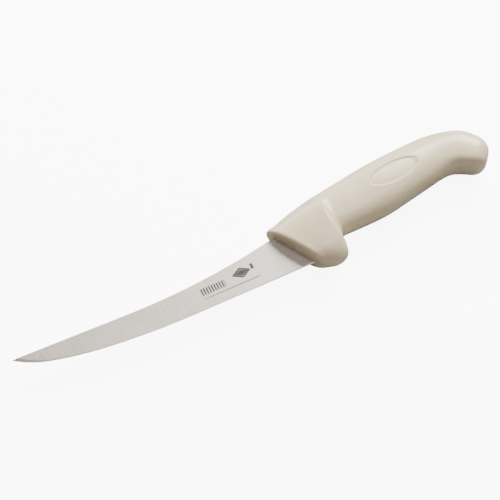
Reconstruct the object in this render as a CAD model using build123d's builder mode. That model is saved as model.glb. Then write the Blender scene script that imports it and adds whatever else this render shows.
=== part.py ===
"""Boning knife, lying on its right side: a ground steel blade with a hidden tang
and a moulded plastic handle closed around that tang.

Frame: tip towards -X, butt towards +X, spine towards +Y, cutting edge towards -Y,
left side of the blade up (+Z). The origin is under the middle of the bounding box.
All sizes are in millimetres.
"""

import math
import os

from build123d import *

# Overall sizes
blade_length = 153.0  # tip to handle along the spine, a six inch blade
handle_length = 130.9  # front of the handle to the butt
guard_thickness = 24.6  # widest across the crest of the guard
guard_drop = 6.0  # how far the guard hangs below the cutting edge
grip_rise = 19.7  # top of the grip above the spine of the blade

# Blade
stock_thickness = 2.0  # sheet the blade is cut from, and the tang
blade_width = 22.6  # edge to spine where the blade meets the handle
tip_height = 17.6  # tip above the straight part of the edge
straight_spine = 65.0  # length of spine behind the tip before it curves up
spine_slope = 1.9  # degrees that this straight run drops, going back
belly_start = 98.0  # where the edge starts to curve up to the tip
belly_points = [(49.0, 2.7), (19.0, 8.3)]  # edge of the belly, going to the tip
behind_edge = 0.4  # thickness behind the edge at the heel
tip_thickness = 1.1  # thickness at the spine, at the tip
bevel_angle = 17.0  # degrees on each side of the edge

# Tang
tang_length = 96.0
tang_root = (8.0, 22.0)  # bottom and top of the tang at the handle's face
tang_knee = (0.385, 15.5, 29.0)  # share of its length, bottom and top
tang_end = (24.5, 34.5)  # bottom and top at the far end
tang_round = 4.0  # corner radius at the far end
lock_hole = 6.0  # holes the plastic flows through
lock_holes = [(0.36, 21.9), (0.6, 24.9), (0.84, 27.8)]  # share of the length, height

# Handle
front_lean = 58.0  # degrees between the front face and the knife's length
front_edge_round = 1.8
butt_round = 5.0
fullness = 0.64  # 0.55 gives elliptical sections, larger gives flatter sides

# Oval recess on each side of the grip
recess_length = 30.0
recess_height = 11.8
recess_depth = 0.5
recess_centre = (74.3, 26.5)  # behind the spine junction, above the edge
recess_tilt = 5.0

# Front face of the handle: top and bottom above the cutting edge, and its thickness
front_face = (27.4, -3.9, 19.0)

# Size that the handle rows below are drawn at: length, height and thickness
pattern = (130.9, 48.3, 24.6)
pattern_drop = 6.0  # guard below the edge
pattern_width = 22.6  # blade at the handle

# Handle sections from front to butt. Each row has the spine point, the belly point
# and the thickness; x is behind the spine junction and y above the cutting edge.
sections = [
    (3.5, 28.6, 20.8, -5.0, 19.8),
    (10.5, 30.7, 25.2, -6.0, 21.6),  # lowest part of the guard
    (18.0, 32.4, 29.5, -5.2, 23.2),
    (25.0, 34.0, 32.5, -2.8, 24.3),
    (30.5, 35.0, 33.5, 1.4, 24.6),  # crest
    (32.9, 35.5, 33.8, 5.5, 23.2),
    (35.1, 35.9, 34.8, 8.1, 20.9),  # finger step
    (40.0, 36.7, 39.5, 8.6, 20.6),
    (50.0, 38.3, 53.0, 8.7, 21.4),
    (63.0, 40.2, 66.0, 9.7, 22.2),  # fullest part of the grip
    (77.0, 41.4, 78.0, 12.0, 22.0),
    (90.0, 42.1, 89.5, 15.0, 21.2),
    (102.0, 42.1, 100.0, 17.1, 20.4),
    (114.0, 40.2, 107.0, 17.0, 20.8),  # start of the hook
    (124.0, 35.0, 113.0, 14.8, 21.2),
    (132.6, 22.6, 121.7, 9.6, 19.6),  # butt
]

overall_length = blade_length + handle_length
centre_x = overall_length / 2
handle_height = guard_drop + blade_width + grip_rise
centre_y = handle_height / 2 - guard_drop
rest_height = guard_thickness / 2

# Middle plane of the knife, with x from the tip and y above the cutting edge
knife = Plane(origin=(-centre_x, -centre_y, rest_height))

tip = (0.0, tip_height)
junction = (blade_length, blade_width)
spine_turn = (
    straight_spine,
    tip_height - straight_spine * math.tan(math.radians(spine_slope)),
)
belly_scale = blade_length / 153.0


def set_back(depth):
    """How far the leaning front face runs back over a depth below the spine."""
    return depth / math.tan(math.radians(front_lean))


def front_at(height):
    """Point of the front plane at a height above the cutting edge."""
    return (blade_length + set_back(blade_width - height), height)


def placed(along, height):
    """Point on the middle plane from a point of the handle pattern."""
    raised = (height + pattern_drop) * handle_height / pattern[1] - guard_drop
    behind = (along - set_back(pattern_width - height)) * handle_length / pattern[0]
    return (front_at(raised)[0] + behind, raised)


def tang_corners():
    """Outline of the tang, from the handle's face back along the top."""
    share, knee_bottom, knee_top = tang_knee
    knee_x = blade_length + share * tang_length
    end_x = blade_length + tang_length
    return [
        front_at(placed(0, tang_root[1])[1]),
        (knee_x, placed(0, knee_top)[1]),
        (end_x, placed(0, tang_end[1])[1]),
        (end_x, placed(0, tang_end[0])[1]),
        (knee_x, placed(0, knee_bottom)[1]),
        front_at(placed(0, tang_root[0])[1]),
    ]


heel = front_at(0.0)


def edge_curve():
    """Cutting edge from the heel to the tip: a straight and three tangent arcs."""
    first, second = [(x * belly_scale, y) for x, y in belly_points]
    start = (belly_start * belly_scale, 0.0)
    Line(heel, start)
    belly = TangentArc(start, first, tangent=(-1, 0))
    belly = TangentArc(first, second, tangent=belly % 1)
    return TangentArc(second, tip, tangent=belly % 1)


def flat_plane(side):
    """Ground flat on one side of the blade, +1 for the left and -1 for the right."""
    at_spine = Vector(*junction, side * stock_thickness / 2)
    at_heel = Vector(blade_length, 0.0, side * behind_edge / 2)
    at_tip = Vector(*tip, side * tip_thickness / 2)
    outward = (at_tip - at_spine).cross(at_heel - at_spine).normalized()
    if outward.Z * side < 0:
        outward = -outward
    return Plane(origin=knife.from_local_coords(at_spine), z_dir=outward)


def handle_section(top, bottom, thickness):
    """Plane, height and thickness of a handle section between two outline points."""
    up = (Vector(*top) - Vector(*bottom)).normalized()
    back = up.cross(Vector(0, 0, 1))
    middle = knife.from_local_coords((Vector(*top) + Vector(*bottom)) / 2)
    height = (Vector(*top) - Vector(*bottom)).length
    return Plane(origin=middle, x_dir=up, z_dir=back), height, thickness


def half_outline(height, thickness):
    """Left half of a handle section, closed along the middle plane."""
    reach = height / 2
    out = thickness / 2
    upper = [(reach, 0), (reach, fullness * out), (fullness * reach, out), (0, out)]
    lower = [(-along, across) for along, across in reversed(upper)]
    Bezier(*upper)
    Bezier(*lower)
    Line((-reach, 0), (reach, 0))


spread = guard_thickness / pattern[2]
top, bottom = [front_at(placed(0, height)[1]) for height in front_face[:2]]
body = [handle_section(top, bottom, front_face[2] * spread)]
for spine_x, spine_y, belly_x, belly_y, thickness in sections:
    top = placed(spine_x, spine_y)
    bottom = placed(belly_x, belly_y)
    body.append(handle_section(top, bottom, thickness * spread))

# The bevel form is as wide as the blade at the middle plane and draws in to both
# sides at the bevel angle. Away from the edge it is larger than the blade.
with BuildPart() as bevel_form:
    bevel_run = stock_thickness / math.tan(math.radians(bevel_angle))
    for side in (1, -1):
        for level in (0, 1):
            with BuildSketch(knife.offset(side * level * stock_thickness)):
                with BuildLine():
                    last = edge_curve()
                    beyond = last @ 1 + (last % 1) * 30
                    Polyline(
                        last @ 1,
                        beyond,
                        (beyond.X, 80),
                        (heel[0] + 40, 80),
                        (heel[0] + 40, 0),
                        heel,
                    )
                make_face()
                if level:
                    offset(amount=-bevel_run, kind=Kind.INTERSECTION, mode=Mode.REPLACE)
        loft(ruled=True)

with BuildPart() as blade:
    with BuildSketch(knife):
        with BuildLine():
            edge_curve()
            Line(tip, spine_turn)
            slope = math.radians(spine_slope)
            TangentArc(spine_turn, junction, tangent=(math.cos(slope), -math.sin(slope)))
            Line(junction, heel)
        make_face()
    extrude(amount=stock_thickness / 2, both=True)
    for side in (1, -1):
        split(bisect_by=flat_plane(side), keep=Keep.BOTTOM)
    add(bevel_form.part, mode=Mode.INTERSECT)

    # The tang keeps the full sheet thickness and starts flush with the handle's face.
    with BuildSketch(knife):
        Polygon(*tang_corners(), align=None)
        fillet(vertices().sort_by(Axis.X)[-2:], tang_round)
    extrude(amount=stock_thickness / 2, both=True)
    with BuildSketch(knife):
        for along, height in lock_holes:
            with Locations((blade_length + along * tang_length, placed(0, height)[1])):
                Circle(lock_hole / 2)
    extrude(amount=stock_thickness, both=True, mode=Mode.SUBTRACT)

# Space that the recess leaves alone: the grip drawn in by the depth of the recess
with BuildPart() as recess_floor:
    for plane, height, thickness in body:
        with BuildSketch(plane):
            with BuildLine():
                half_outline(height, thickness - 2 * recess_depth)
            make_face()
    loft()
    mirror(about=knife)

with BuildPart() as recess_form:
    with BuildSketch(knife):
        with Locations(Location(placed(*recess_centre), recess_tilt)):
            Ellipse(recess_length / 2, recess_height / 2)
    extrude(amount=guard_thickness, both=True)
    add(recess_floor.part, mode=Mode.SUBTRACT)

with BuildPart() as handle:
    for plane, height, thickness in body:
        with BuildSketch(plane):
            with BuildLine():
                half_outline(height, thickness)
            make_face()
    loft()
    mirror(about=knife)
    ends = handle.faces().filter_by(GeomType.PLANE).sort_by(Axis.X)
    fillet(ends[0].edges(), front_edge_round)
    ends = handle.faces().filter_by(GeomType.PLANE).sort_by(Axis.X)
    fillet(ends[-1].edges(), butt_round)
    add(recess_form.part, mode=Mode.SUBTRACT)
    add(blade.part, mode=Mode.SUBTRACT)

blade.part.label = "blade"
handle.part.label = "handle"

os.makedirs("parts", exist_ok=True)
export_step(blade.part, "parts/blade.step")
export_step(handle.part, "parts/handle.step")
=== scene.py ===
"""Boning knife: satin steel blade in a moulded, pale plastic handle."""

import math

import bmesh
import bpy
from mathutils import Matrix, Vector


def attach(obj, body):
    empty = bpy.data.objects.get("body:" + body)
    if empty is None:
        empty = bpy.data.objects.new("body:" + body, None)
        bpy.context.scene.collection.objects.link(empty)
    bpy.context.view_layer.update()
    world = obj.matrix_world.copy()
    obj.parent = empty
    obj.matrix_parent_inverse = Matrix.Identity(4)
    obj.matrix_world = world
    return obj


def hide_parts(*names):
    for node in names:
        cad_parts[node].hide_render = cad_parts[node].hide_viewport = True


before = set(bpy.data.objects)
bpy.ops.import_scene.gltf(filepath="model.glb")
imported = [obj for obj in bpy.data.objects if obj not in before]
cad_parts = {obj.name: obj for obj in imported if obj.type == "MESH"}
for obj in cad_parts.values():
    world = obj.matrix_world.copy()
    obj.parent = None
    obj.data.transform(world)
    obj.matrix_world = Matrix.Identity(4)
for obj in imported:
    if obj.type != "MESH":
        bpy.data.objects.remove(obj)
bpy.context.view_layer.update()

MM = 0.001

# ---------------------------------------------------------------- sizes, in millimetres

BLADE_LENGTH = 153.0
BLADE_WIDTH = 22.6
FRONT_LEAN = math.radians(58.0)
REST_HEIGHT = 12.3
CENTRE = (141.95, 18.15)  # middle of the knife, from the tip and above the edge

# Front face of the handle: top and bottom above the cutting edge, and its thickness
FRONT_FACE = (27.4, -3.9, 19.0)

# Handle sections behind the front face: spine point, belly point and thickness.
# x is behind the spine junction and y above the cutting edge.
SECTIONS = [
    (3.5, 28.6, 20.8, -5.0, 19.8),
    (10.5, 30.9, 25.2, -6.0, 21.6),
    (18.0, 32.8, 29.5, -5.2, 23.2),
    (25.0, 34.4, 32.5, -2.8, 24.3),
    (30.5, 35.3, 33.5, 1.4, 24.6),
    (32.9, 35.5, 33.8, 5.5, 23.2),
    (35.1, 35.9, 34.8, 8.1, 20.9),
    (40.0, 36.7, 39.5, 8.6, 20.6),
    (50.0, 38.3, 53.0, 8.7, 21.4),
    (63.0, 40.2, 66.0, 9.7, 22.2),
    (77.0, 41.4, 78.0, 12.0, 22.0),
    (90.0, 42.1, 89.5, 14.2, 21.2),
    (102.0, 42.1, 100.0, 16.4, 20.4),
    (114.0, 39.8, 107.0, 17.0, 20.8),
    (124.0, 34.6, 113.0, 14.8, 21.2),
    (132.6, 22.6, 121.7, 9.6, 19.6),
]
FULLNESS = 0.64  # 0.55 gives elliptical sections, larger gives flatter sides
HOOK_FULLER = 0.14  # added under the hook, where the belly is squarer
HOOK_FROM = 12.0  # number of the section where that starts
HOOK_FADE = 3.0  # number of sections over which it comes in
GUARD_RIDGE = 5.8  # number of the section at the guard's rear ridge
GUARD_BOW = 2.6  # how far the guard's rear ridge bows forward on the flank
GUARD_BOW_REACH = 2.0  # number of sections over which the bow dies away

# Thickness of the same sections on the spine side, where the guard has no step behind it
SPINE_SIDE = [
    19.0, 19.8, 21.2, 22.2, 22.7, 22.6, 22.3, 22.0, 21.8, 21.8, 22.2, 22.0, 21.2, 20.4, 20.8, 21.2,
    19.6,
]
SPINE_SIDE_FROM = 0.05  # where the spine side starts, as a share of the half height
SPINE_SIDE_FADE = 0.6  # share over which its thickness takes over

FRONT_ROUND = 3.0
BUTT_ROUND = 7.0
BUTT_DOME = 0.7  # how far the middle of the butt's face swells out
BUTT_DOME_WIDTH = 9.4  # distance from there to where the swell ends

# Oval recess on both sides of the grip
RECESS_CENTRE = (74.3, 26.5)
RECESS_HALF = (15.0, 5.9)
RECESS_TILT = math.radians(5.0)
RECESS_DEPTH = 0.6
RECESS_RIM = 0.32  # width of the slope inside its edge
RECESS_FLAT = 0.2  # share of the oval, round its middle, that is floor at once
FLANK = 5.0  # the recess is pressed in only this far off the middle plane

SEAM_RISE = 0.12  # moulding seam round the middle plane
SEAM_HALF = 0.35

# Fineness of the handle's mesh
LINE_STEPS = 400  # for measuring along its lines
FACE_STEPS = 5  # from the middle of the front face to its rounded edge
ROUND_STEPS = 6
BUTT_STEPS = 10
BUTT_FACE_STEPS = 6
RINGS = 8  # in each span between two sections
CLOSE_RINGS = {0: 12, 4: 12, 5: 12, 6: 12, 7: 12, 9: 64, 10: 64, 11: 64}  # guard and recess
SEAM_STEPS = [0.0, 0.008, 0.016, 0.03, 0.06, 0.1]  # shares of a quarter, from the seam
WIDE_STEP = 0.045
FLANK_STEPS = 36  # in the half of a quarter that holds the recess

# ---------------------------------------------------------------- colours

PLASTIC_WARM = (0.68, 0.545, 0.34, 1.0)
PLASTIC_PALE = (0.73, 0.60, 0.395, 1.0)
PLASTIC_SHADE = (0.63, 0.495, 0.30, 1.0)
PLASTIC_GREY = (0.46, 0.37, 0.25, 1.0)
PLASTIC_RUBBED = (0.82, 0.74, 0.58, 1.0)

STEEL_DEEP = (0.42, 0.37, 0.33, 1.0)
STEEL_BRIGHT = (0.54, 0.475, 0.415, 1.0)
STEEL_MIST = (0.58, 0.52, 0.465, 1.0)
STEEL_DARK = (0.30, 0.28, 0.27, 1.0)
STEEL_ETCH = (0.03, 0.027, 0.025, 1.0)

FLOOR_SEEN = (0.9, 0.9, 0.9, 1.0)
FLOOR_BOUNCE = (0.35, 0.35, 0.35, 1.0)
FLOOR_GLOW = 8.0

# Etched mark on the upper flat, in millimetres. Bars give left, right, low and high;
# lozenges give the middle, the two half sizes and the width of the line.
MARK_SHIFT = (22.0, 6.6, 0.0)
MARK_BLOCK = (-15.5, -1.2, -3.8, 0.4)
MARK_HATCH = 4.2  # how fast the block's hatching repeats, in radians for each millimetre
MARK_RULE = (-14.5, 17.5, -6.1, -5.5)
MARK_BAR = (14.8, 16.4, -0.4, 2.8)
MARK_LOZENGE = (9.0, 4.6, 2.6, 0.3)
MARK_HEART = (9.0, 1.6, 0.8, 1.6)

# Camera
LENS = 135.2
SENSOR = 36.0
AZIMUTH = math.radians(-25.97)
ELEVATION = math.radians(62.0)
AIM = (-2.79, 3.76, 12.4)
DISTANCE = 1.0  # metres


def place(x, y, z=0.0):
    """Point of the knife, from the tip, above the edge and off the middle plane, in metres."""
    return Vector((x - CENTRE[0], y - CENTRE[1], z + REST_HEIGHT)) * MM


# ---------------------------------------------------------------- curves


def smooth_curve(values):
    """Natural cubic curve through evenly numbered values, as a function of the number."""
    last = len(values) - 1
    lean = [0.0] * (last + 1)
    carry = [0.0] * (last + 1)
    for k in range(1, last):
        pull = 6.0 * (values[k + 1] - 2.0 * values[k] + values[k - 1])
        share = 4.0 - carry[k - 1]
        carry[k] = 1.0 / share
        lean[k] = (pull - lean[k - 1]) / share
    bend = [0.0] * (last + 1)
    for k in range(last - 1, 0, -1):
        bend[k] = lean[k] - carry[k] * bend[k + 1]

    def at(position):
        k = min(int(position), last - 1)
        b = position - k
        a = 1.0 - b
        curve = (a**3 - a) * bend[k] + (b**3 - b) * bend[k + 1]
        return a * values[k] + b * values[k + 1] + curve / 6.0

    return at


def ease(value):
    """Smooth step from 0 to 1."""
    value = min(max(value, 0.0), 1.0)
    return value * value * (3.0 - 2.0 * value)


def quarter(share, fullness):
    """A quarter of a handle section: how far up and how far out, from its top to its flank."""
    a, b = 1.0 - share, share
    up = a**3 + 3 * a * a * b + 3 * a * b * b * fullness
    out = 3 * a * a * b * fullness + 3 * a * b * b + b**3
    return up, out


# ---------------------------------------------------------------- handle


def front_at(height):
    """Where the leaning front plane is at a height above the edge, from the tip."""
    return BLADE_LENGTH + (BLADE_WIDTH - height) / math.tan(FRONT_LEAN)


def handle_rows():
    """The front face and the sections, all measured from the tip."""
    top, bottom, thickness = FRONT_FACE
    rows = [(front_at(top), top, front_at(bottom), bottom, thickness)]
    for spine_x, spine_y, belly_x, belly_y, thickness in SECTIONS:
        rows.append((spine_x + BLADE_LENGTH, spine_y, belly_x + BLADE_LENGTH, belly_y, thickness))
    return rows


def section_shares():
    """Places round a section, in quarters: 0 top, 1 left flank, 2 belly, 3 right flank."""
    quarter_steps = list(SEAM_STEPS)
    while quarter_steps[-1] < 0.5:
        quarter_steps.append(quarter_steps[-1] + WIDE_STEP)
    quarter_steps += [0.5 + 0.5 * k / FLANK_STEPS for k in range(1, FLANK_STEPS + 1)]
    shares = []
    for side in range(4):
        steps = quarter_steps if side % 2 == 0 else [1.0 - s for s in reversed(quarter_steps)]
        shares += [side + s for s in steps[:-1]]
    return shares


def round_section(share, belly_fullness):
    """Up and out of one place round the section, for a section of half height and width 1."""
    side, within = int(share) % 4, share - int(share)
    fullness = belly_fullness if side in (1, 2) else FULLNESS
    up, out = quarter(within if side % 2 == 0 else 1.0 - within, fullness)
    if side in (1, 2):
        up = -up
    if side in (2, 3):
        out = -out
    return up, out


def handle_surface():
    """The handle's skin as a function of place along it and place round it."""
    rows = handle_rows()
    curves = [smooth_curve([row[k] for row in rows]) for k in range(5)]
    calm = smooth_curve(SPINE_SIDE)

    def at(along, share):
        top_x, top_y, bottom_x, bottom_y, thickness = [curve(along) for curve in curves]
        fuller = HOOK_FULLER * ease((along - HOOK_FROM) / HOOK_FADE)
        up, out = round_section(share, FULLNESS + fuller)
        thickness += (calm(along) - thickness) * ease((up - SPINE_SIDE_FROM) / SPINE_SIDE_FADE)
        mid_x, mid_y = (top_x + bottom_x) / 2, (top_y + bottom_y) / 2
        away = (along - GUARD_RIDGE) / GUARD_BOW_REACH
        bow = GUARD_BOW * (1.0 - up * up) * math.exp(-(away ** 2))
        return Vector((
            mid_x + (top_x - bottom_x) / 2 * up - bow,
            mid_y + (top_y - bottom_y) / 2 * up,
            thickness / 2 * out,
        ))

    return at, len(rows) - 1


def ring_places(last):
    """Places along the handle for its rings, closer together at the guard and the recess."""
    places = []
    for span in range(last):
        count = CLOSE_RINGS.get(span, RINGS)
        places += [span + k / count for k in range(count)]
    return places + [float(last)]


def recess_drop(point):
    """How deep the oval recess is below the handle's skin at a point."""
    dx = point.x - BLADE_LENGTH - RECESS_CENTRE[0]
    dy = point.y - RECESS_CENTRE[1]
    along = dx * math.cos(RECESS_TILT) + dy * math.sin(RECESS_TILT)
    across = dy * math.cos(RECESS_TILT) - dx * math.sin(RECESS_TILT)
    reach = math.hypot(along / RECESS_HALF[0], across / RECESS_HALF[1])
    if reach < RECESS_FLAT:
        return RECESS_DEPTH
    # distance inside the rim, from the slope of the oval at this point
    slope = math.hypot(along / RECESS_HALF[0] ** 2, across / RECESS_HALF[1] ** 2) / reach
    inside = (1.0 - reach) / slope
    return RECESS_DEPTH * ease(inside / RECESS_RIM)


def dressed(at, along, share):
    """A point of the skin with the recess pressed in and the mould's parting line raised."""
    point = at(along, share)
    if abs(point.z) > FLANK:
        drop = recess_drop(point)
        return Vector((point.x, point.y, point.z - math.copysign(drop, point.z)))
    rise = SEAM_RISE * (1.0 - ease(abs(point.z) / SEAM_HALF))
    outward = (point - (at(along, 0.0) + at(along, 2.0)) / 2).normalized()
    return point + outward * rise


def line_distances(at, share, last):
    """Distances from the front to close places along one line of the handle."""
    points = [at(last * k / LINE_STEPS, share) for k in range(LINE_STEPS + 1)]
    distances = [0.0]
    for a, b in zip(points, points[1:]):
        distances.append(distances[-1] + (b - a).length)
    return distances


def locate(run, distance):
    """Place, as a share of the line, at a distance along it."""
    low, high = 0, len(run) - 1
    while high - low > 1:
        middle = (low + high) // 2
        if run[middle] <= distance:
            low = middle
        else:
            high = middle
    gap = run[high] - run[low]
    return (low + (distance - run[low]) / gap if gap else low) / (len(run) - 1)


def inward(corner, top, bottom, thickness):
    """Direction in the plane of a section from its outline to the nearest point of its core."""
    middle, up = (top + bottom) / 2, (top - bottom).normalized()
    core = max((top - bottom).length / 2 - thickness / 2, 0.0)
    height = min(max((corner - middle).dot(up), -core), core)
    return (middle + up * height - corner).normalized()


def front_end(at, share, start):
    """One line of the front, from the middle of its face over its rounded edge."""
    corner = at(0.0, share)
    spine, belly = at(0.0, 0.0), at(0.0, 2.0)
    middle = (spine + belly) / 2
    face_in = corner + inward(corner, spine, belly, FRONT_FACE[2]) * FRONT_ROUND
    back = at(start, share)
    line = [middle.copy()]
    line += [middle.lerp(face_in, k / FACE_STEPS) for k in range(1, FACE_STEPS)]
    for k in range(ROUND_STEPS + 1):
        b = k / ROUND_STEPS
        line.append(face_in * (1 - b) ** 2 + corner * 2 * b * (1 - b) + back * b * b)
    return line


def butt_end(at, last, share, stop):
    """One line of the butt, over its rounded edge to the middle of its domed face."""
    corner = at(float(last), share)
    spine, belly = at(float(last), 0.0), at(float(last), 2.0)
    middle = (spine + belly) / 2
    outward = (spine - belly).normalized().cross(Vector((0, 0, 1)))
    face_in = corner + inward(corner, spine, belly, SECTIONS[-1][4]) * BUTT_ROUND
    front = at(stop, share)
    flat = []
    for k in range(BUTT_STEPS + 1):
        b = k / BUTT_STEPS
        flat.append(front.lerp(corner, b).lerp(corner.lerp(face_in, b), b))
    flat += [face_in.lerp(middle, k / BUTT_FACE_STEPS) for k in range(1, BUTT_FACE_STEPS + 1)]
    line = []
    for point in flat:
        across = point - middle
        across -= outward * across.dot(outward)
        swell = 1.0 - (across.length / BUTT_DOME_WIDTH) ** 2
        line.append(point + outward * BUTT_DOME * max(swell, 0.0))
    return line


def closed_mesh(columns):
    """Faces between neighbouring lines, which share their first and their last point."""
    mesh = bmesh.new()
    count = len(columns[0])
    grid = []
    for j, column in enumerate(columns):
        line = []
        for i, point in enumerate(column):
            if i in (0, count - 1) and j:
                line.append(grid[0][i])
            else:
                line.append(mesh.verts.new(place(point.x, point.y, point.z)))
        grid.append(line)
    for j in range(len(grid)):
        following = grid[(j + 1) % len(grid)]
        for i in range(count - 1):
            corners = [grid[j][i], following[i], following[i + 1], grid[j][i + 1]]
            mesh.faces.new(list(dict.fromkeys(corners)))
    bmesh.ops.recalc_face_normals(mesh, faces=mesh.faces)
    for face in mesh.faces:
        face.smooth = True
    return mesh


def handle_mesh():
    """The whole handle as one closed mesh with rounded ends."""
    at, last = handle_surface()
    places = ring_places(last)
    columns = []
    for share in section_shares():
        run = line_distances(at, share, last)
        start = locate(run, FRONT_ROUND) * last
        stop = locate(run, run[-1] - BUTT_ROUND) * last
        column = front_end(at, share, start)
        for place_along in places[1:-1]:
            along = start + (stop - start) * place_along / last
            column.append(dressed(at, along, share))
        columns.append(column + butt_end(at, last, share, stop))
    return closed_mesh(columns)


def make_object(name, mesh, material):
    """Puts a finished bmesh into the scene under its name, with one material."""
    data = bpy.data.meshes.new(name)
    mesh.to_mesh(data)
    mesh.free()
    data.materials.append(material)
    made = bpy.data.objects.new(name, data)
    bpy.context.scene.collection.objects.link(made)
    return made


# ---------------------------------------------------------------- materials


class Board:
    """A node tree with short ways to add and wire its nodes."""

    def __init__(self, tree):
        self.nodes, self.links = tree.nodes, tree.links

    def wire(self, value, socket):
        """Joins an output to a socket, or sets the socket to a plain value."""
        if isinstance(value, bpy.types.NodeSocket):
            self.links.new(value, socket)
        elif value is not None:
            socket.default_value = value

    def math(self, operation, *values):
        node = self.nodes.new("ShaderNodeMath")
        node.operation = operation
        for socket, value in zip(node.inputs, values):
            self.wire(value, socket)
        return node.outputs["Value"]

    def noise(self, vector, scale, detail=3.0, roughness=0.5, distortion=0.0):
        node = self.nodes.new("ShaderNodeTexNoise")
        self.wire(vector, node.inputs["Vector"])
        self.wire(scale, node.inputs["Scale"])
        self.wire(detail, node.inputs["Detail"])
        self.wire(roughness, node.inputs["Roughness"])
        self.wire(distortion, node.inputs["Distortion"])
        return node.outputs["Fac"]

    def stretch(self, vector, scale, turn=(0.0, 0.0, 0.0), shift=(0.0, 0.0, 0.0)):
        node = self.nodes.new("ShaderNodeMapping")
        self.wire(vector, node.inputs["Vector"])
        node.inputs["Scale"].default_value = scale
        node.inputs["Rotation"].default_value = turn
        node.inputs["Location"].default_value = shift
        return node.outputs["Vector"]

    def band(self, value, low, high, out_low=0.0, out_high=1.0):
        """Smoothly rises from out_low to out_high as the value goes from low to high."""
        node = self.nodes.new("ShaderNodeMapRange")
        node.interpolation_type = "SMOOTHSTEP"
        for name, given in (
            ("Value", value), ("From Min", low), ("From Max", high),
            ("To Min", out_low), ("To Max", out_high),
        ):
            self.wire(given, node.inputs[name])
        return node.outputs["Result"]

    def blend(self, share, first, second):
        """Colour between first and second, by share."""
        node = self.nodes.new("ShaderNodeMix")
        node.data_type = "RGBA"
        self.wire(share, node.inputs["Factor"])
        self.wire(first, node.inputs["A"])
        self.wire(second, node.inputs["B"])
        return node.outputs["Result"]

    def bump(self, height, strength, distance, normal=None):
        node = self.nodes.new("ShaderNodeBump")
        node.inputs["Strength"].default_value = strength
        node.inputs["Distance"].default_value = distance
        self.wire(height, node.inputs["Height"])
        self.wire(normal, node.inputs["Normal"])
        return node.outputs["Normal"]

    def place(self):
        """Where the surface point is in the object's own frame, in metres."""
        return self.nodes.new("ShaderNodeTexCoord").outputs["Object"]

    def group(self, tree, **values):
        """Adds a shader group and sets or joins its inputs by name."""
        node = self.nodes.new("ShaderNodeGroup")
        node.node_tree = tree
        for name, value in values.items():
            self.wire(value, node.inputs[name.replace("_", " ")])
        return node


def node_group(name, inputs, outputs):
    """A new shader group with named inputs and outputs, its board and its end nodes."""
    tree = bpy.data.node_groups.new(name, "ShaderNodeTree")
    for label, kind, value in inputs:
        socket = tree.interface.new_socket(name=label, in_out="INPUT", socket_type=kind)
        if value is not None:
            socket.default_value = value
    for label, kind in outputs:
        tree.interface.new_socket(name=label, in_out="OUTPUT", socket_type=kind)
    entry, leave = tree.nodes.new("NodeGroupInput"), tree.nodes.new("NodeGroupOutput")
    return tree, Board(tree), entry, leave


def scratch_group():
    """Sparse fine scratches that run mostly one way, with a few crossing."""
    tree, board, entry, leave = node_group(
        "use_scratches",
        [
            ("Vector", "NodeSocketVector", None),
            ("Scale", "NodeSocketFloat", 1.0),
            ("Amount", "NodeSocketFloat", 0.5),
        ],
        [("Scratches", "NodeSocketFloat")],
    )
    found = None
    for turn, stretch in ((0.25, (30, 900, 200)), (-0.5, (22, 700, 200)), (1.2, (40, 1000, 200))):
        laid = board.stretch(entry.outputs["Vector"], stretch, (0, 0, turn))
        streak = board.noise(laid, entry.outputs["Scale"], detail=2.0, roughness=0.6)
        limit = board.math("SUBTRACT", 0.78, board.math("MULTIPLY", entry.outputs["Amount"], 0.08))
        line = board.band(streak, limit, board.math("ADD", limit, 0.06))
        found = line if found is None else board.math("MAXIMUM", found, line)
    board.wire(found, leave.inputs["Scratches"])
    return tree


def smudge_group():
    """Broad soft patches, as handling and washing leave them."""
    tree, board, entry, leave = node_group(
        "handling_smudges",
        [
            ("Vector", "NodeSocketVector", None),
            ("Scale", "NodeSocketFloat", 60.0),
            ("Contrast", "NodeSocketFloat", 0.2),
        ],
        [("Smudges", "NodeSocketFloat")],
    )
    wide = board.noise(
        entry.outputs["Vector"], entry.outputs["Scale"],
        detail=4.0, roughness=0.55, distortion=0.4,
    )
    half = board.math("MULTIPLY", entry.outputs["Contrast"], 0.5)
    low, high = board.math("SUBTRACT", 0.5, half), board.math("ADD", 0.5, half)
    board.wire(board.band(wide, low, high), leave.inputs["Smudges"])
    return tree


def speck_group():
    """Tiny scattered specks of dust or pigment."""
    tree, board, entry, leave = node_group(
        "fine_specks",
        [
            ("Vector", "NodeSocketVector", None),
            ("Scale", "NodeSocketFloat", 1500.0),
            ("Cover", "NodeSocketFloat", 0.1),
        ],
        [("Specks", "NodeSocketFloat")],
    )
    grain = board.noise(
        entry.outputs["Vector"], entry.outputs["Scale"], detail=1.0, roughness=0.5
    )
    limit = board.math("SUBTRACT", 0.8, entry.outputs["Cover"])
    board.wire(board.band(grain, limit, board.math("ADD", limit, 0.05)), leave.inputs["Specks"])
    return tree


SCRATCHES, SMUDGES, SPECKS = scratch_group(), smudge_group(), speck_group()


def new_material(name):
    """An empty material with one shader, ready to wire."""
    material = bpy.data.materials.new(name)
    material.use_nodes = True
    material.node_tree.nodes.clear()
    board = Board(material.node_tree)
    output = board.nodes.new("ShaderNodeOutputMaterial")
    shader = board.nodes.new("ShaderNodeBsdfPrincipled")
    board.wire(shader.outputs["BSDF"], output.inputs["Surface"])
    return material, board, shader


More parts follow.
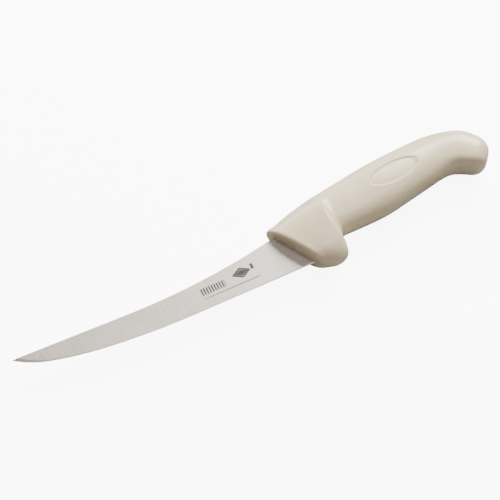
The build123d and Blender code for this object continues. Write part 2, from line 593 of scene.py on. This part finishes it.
def plastic_material():
    """Ivory moulded plastic with a fine mould texture, smudges, specks and light scratches."""
    material, board, shader = new_material("moulded_polypropylene")
    place_at = board.place()
    smudges = board.group(SMUDGES, Vector=place_at, Scale=38.0, Contrast=0.5).outputs["Smudges"]
    clouds = board.noise(place_at, scale=160.0, detail=4.0, roughness=0.6)
    scratches = board.group(SCRATCHES, Vector=place_at, Scale=1.0, Amount=0.5).outputs["Scratches"]
    specks = board.group(SPECKS, Vector=place_at, Scale=2600.0, Cover=0.075).outputs["Specks"]

    body = board.blend(smudges, PLASTIC_WARM, PLASTIC_PALE)
    body = board.blend(board.band(clouds, 0.4, 0.75, out_high=0.35), body, PLASTIC_SHADE)
    body = board.blend(board.math("MULTIPLY", specks, 0.35), body, PLASTIC_GREY)
    body = board.blend(board.math("MULTIPLY", scratches, 0.3), body, PLASTIC_RUBBED)
    board.wire(body, shader.inputs["Base Color"])

    rough = board.math("ADD", board.math("MULTIPLY", smudges, 0.06), 0.2)
    rough = board.math("ADD", rough, board.math("MULTIPLY", scratches, 0.1))
    rough = board.math("ADD", rough, board.math("MULTIPLY", clouds, 0.08))
    board.wire(rough, shader.inputs["Roughness"])

    stipple = board.noise(place_at, scale=2100.0, detail=3.0, roughness=0.6)
    sink = board.noise(place_at, scale=45.0, detail=2.0, roughness=0.4)
    grooves = board.math("MULTIPLY", scratches, -1.0)
    normal = board.bump(sink, strength=0.35, distance=0.0006)
    normal = board.bump(stipple, strength=0.22, distance=0.00006, normal=normal)
    normal = board.bump(grooves, strength=0.4, distance=0.00003, normal=normal)
    board.wire(normal, shader.inputs["Normal"])
    shader.inputs["IOR"].default_value = 1.49
    shader.inputs["Specular IOR Level"].default_value = 0.5
    shader.inputs["Subsurface Weight"].default_value = 0.08
    shader.inputs["Subsurface Radius"].default_value = (0.004, 0.003, 0.002)
    return material


def mark_mask(board, place_at):
    """Where the etched mark is: hatched block, double lozenge, bar and rule, no letters."""
    laid = board.stretch(place_at, (1.0 / MM,) * 3, shift=MARK_SHIFT)
    split = board.nodes.new("ShaderNodeSeparateXYZ")
    board.wire(laid, split.inputs["Vector"])
    x, y, z = split.outputs

    def bar(left, right, low, high, soft=0.12):
        along = board.math("ABSOLUTE", board.math("SUBTRACT", x, (left + right) / 2))
        across = board.math("ABSOLUTE", board.math("SUBTRACT", y, (low + high) / 2))
        within = board.band(along, (right - left) / 2 - soft, (right - left) / 2 + soft, 1.0, 0.0)
        beside = board.band(across, (high - low) / 2 - soft, (high - low) / 2 + soft, 1.0, 0.0)
        return board.math("MULTIPLY", within, beside)

    def lozenge(middle, half_long, half_high, line):
        along = board.math("ABSOLUTE", board.math("SUBTRACT", x, middle))
        across = board.math("ABSOLUTE", y)
        reach = board.math("ADD", board.math("DIVIDE", along, half_long),
                           board.math("DIVIDE", across, half_high))
        off = board.math("ABSOLUTE", board.math("SUBTRACT", reach, 1.0))
        return board.band(off, line * 0.6, line, 1.0, 0.0)

    wave = board.math("SINE", board.math("MULTIPLY", x, MARK_HATCH))
    hatching = board.band(wave, -0.6, -0.1)
    marks = [
        board.math("MULTIPLY", bar(*MARK_BLOCK), hatching),
        bar(*MARK_RULE, soft=0.1),
        lozenge(*MARK_LOZENGE),
        lozenge(*MARK_HEART),
        bar(*MARK_BAR),
    ]
    found = marks[0]
    for mark in marks[1:]:
        found = board.math("MAXIMUM", found, mark)
    upper = board.band(z, REST_HEIGHT, REST_HEIGHT + 0.5)
    return board.math("MULTIPLY", found, upper)


def steel_material():
    """Satin stainless steel, ground across the blade, with an etched mark on one side."""
    material, board, shader = new_material("satin_ground_steel")
    place_at = board.place()
    smudges = board.group(SMUDGES, Vector=place_at, Scale=30.0, Contrast=0.45).outputs["Smudges"]
    scratches = board.group(SCRATCHES, Vector=place_at, Scale=1.3, Amount=0.9).outputs["Scratches"]
    specks = board.group(SPECKS, Vector=place_at, Scale=1900.0, Cover=0.05).outputs["Specks"]
    close_grain = board.stretch(place_at, (5200, 130, 130), turn=(0, 0, 0.12))
    wide_grain = board.stretch(place_at, (700, 30, 30), turn=(0, 0, 0.12))
    grind = board.noise(close_grain, scale=1.0, detail=5.0, roughness=0.65)
    broad = board.noise(wide_grain, scale=1.0, detail=3.0, roughness=0.5)
    mark = mark_mask(board, place_at)

    tone = board.blend(board.band(grind, 0.3, 0.7), STEEL_DEEP, STEEL_BRIGHT)
    tone = board.blend(board.band(broad, 0.3, 0.7, out_high=0.35), tone, STEEL_MIST)
    tone = board.blend(board.math("MULTIPLY", specks, 0.25), tone, STEEL_DARK)
    tone = board.blend(board.math("MULTIPLY", mark, 0.97), tone, STEEL_ETCH)
    board.wire(tone, shader.inputs["Base Color"])

    rough = board.math("ADD", board.math("MULTIPLY", grind, 0.12), 0.38)
    rough = board.math("ADD", rough, board.math("MULTIPLY", smudges, 0.06))
    rough = board.math("SUBTRACT", rough, board.math("MULTIPLY", scratches, 0.06))
    rough = board.math("ADD", rough, board.math("MULTIPLY", mark, 0.3))
    board.wire(rough, shader.inputs["Roughness"])
    board.wire(board.math("SUBTRACT", 1.0, board.math("MULTIPLY", mark, 0.9)),
               shader.inputs["Metallic"])

    grooves = board.math("MULTIPLY", scratches, -1.0)
    etching = board.math("MULTIPLY", mark, -1.0)
    normal = board.bump(grind, strength=0.25, distance=0.00002)
    normal = board.bump(grooves, strength=0.3, distance=0.00001, normal=normal)
    normal = board.bump(etching, strength=0.5, distance=0.00003, normal=normal)
    board.wire(normal, shader.inputs["Normal"])
    return material


def floor_material():
    """Matt pale sweep. It throws back less light than it shows, as a wide studio table does."""
    material, board, shader = new_material("pale_floor")
    ray = board.nodes.new("ShaderNodeLightPath").outputs["Is Camera Ray"]
    board.wire(board.blend(ray, FLOOR_BOUNCE, FLOOR_SEEN), shader.inputs["Base Color"])
    board.wire(board.math("MULTIPLY", ray, FLOOR_GLOW), shader.inputs["Emission Strength"])
    shader.inputs["Emission Color"].default_value = (1.0, 1.0, 1.0, 1.0)
    shader.inputs["Roughness"].default_value = 0.95
    shader.inputs["Specular IOR Level"].default_value = 0.1
    return material


# ---------------------------------------------------------------- pieces

handle = make_object("handle_moulding", handle_mesh(), plastic_material())
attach(handle, "root")
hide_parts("handle")

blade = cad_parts["blade"]
blade.data.materials.clear()
blade.data.materials.append(steel_material())

# ---------------------------------------------------------------- studio


def studio_floor():
    mesh = bmesh.new()
    bmesh.ops.create_grid(mesh, x_segments=2, y_segments=2, size=4.0)
    floor = make_object("studio_floor", mesh, floor_material())
    floor.location = (0, 0, -0.0002)


def area_light(name, place_at, aim, size, power):
    """A rectangular white light: place, aim and size in metres, power in watts."""
    data = bpy.data.lights.new(name, "AREA")
    data.shape = "RECTANGLE"
    data.size, data.size_y = size
    data.energy = power
    light = bpy.data.objects.new(name, data)
    light.location = place_at
    light.rotation_mode = "QUATERNION"
    light.rotation_quaternion = (Vector(aim) - Vector(place_at)).to_track_quat("-Z", "Y")
    bpy.context.scene.collection.objects.link(light)


studio_floor()
area_light("key_above_behind", (0.92, 0.8, 1.0), (0.05, 0, 0), (0.8, 0.8), 70.0)
area_light("overhead", (0.15, -0.25, 1.4), (0, 0, 0), (0.9, 0.5), 7.0)
area_light("rear_rim", (-0.2, 1.5, 0.6), (0, 0, 0), (1.6, 0.4), 22.0)

world = bpy.data.worlds.new("studio")
world.use_nodes = True
background = world.node_tree.nodes["Background"]
background.inputs["Color"].default_value = (1, 1, 1, 1)
background.inputs["Strength"].default_value = 0.17
bpy.context.scene.world = world

camera_data = bpy.data.cameras.new("camera")
camera = bpy.data.objects.new("camera", camera_data)
bpy.context.scene.collection.objects.link(camera)
camera_data.lens = LENS
camera_data.sensor_width = SENSOR
back = Vector((
    math.sin(AZIMUTH) * math.cos(ELEVATION),
    -math.cos(AZIMUTH) * math.cos(ELEVATION),
    math.sin(ELEVATION),
))
camera.location = Vector(AIM) * MM + back * DISTANCE
camera.rotation_mode = "QUATERNION"
camera.rotation_quaternion = (-back).to_track_quat("-Z", "Y")
bpy.context.scene.camera = camera
